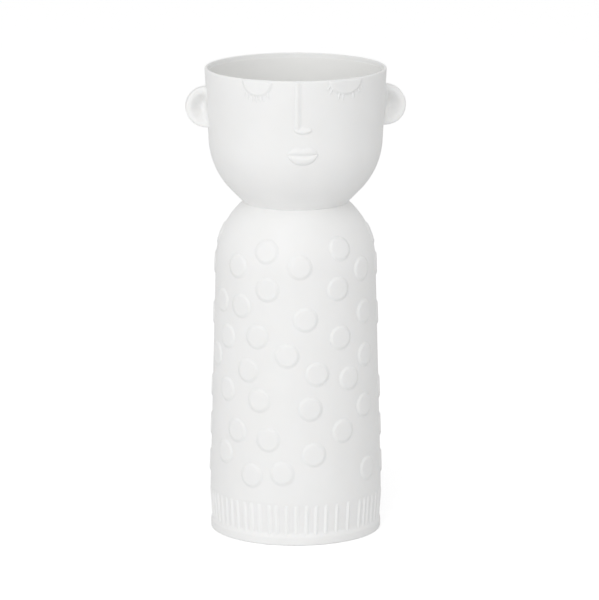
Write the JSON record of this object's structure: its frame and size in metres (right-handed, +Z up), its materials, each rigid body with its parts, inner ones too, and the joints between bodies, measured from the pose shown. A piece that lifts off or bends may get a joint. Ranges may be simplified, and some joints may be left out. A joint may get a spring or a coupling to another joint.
{
  "type": "face vase",
  "caption": "White porcelain vase: a round-shouldered dotted body with a ribbed hem carries an open bowl shaped as a head with a sleeping face and round ears.",
  "frame": {"origin": "on the ground, at the centre of the foot ring", "axes": "+Z up; the face looks along -Y; +X to the right of someone who looks at the face"},
  "size_m": [0.0936, 0.0783, 0.2],
  "materials": {
    "porcelain": "matte unglazed white",
    "glaze": "clear satin glaze"
  },
  "bodies": {
    "root": {"body": "porcelain", "head": "porcelain", "inner_glaze": "glaze", "left_ear": "porcelain", "right_ear": "porcelain", "left_eyelid": "porcelain", "right_eyelid": "porcelain", "left_lashes": "porcelain", "right_lashes": "porcelain", "nose": "porcelain", "upper_lip": "porcelain", "lower_lip": "porcelain", "body_dots": "porcelain", "hem_ribs": "porcelain"}
  },
  "joints": []
}
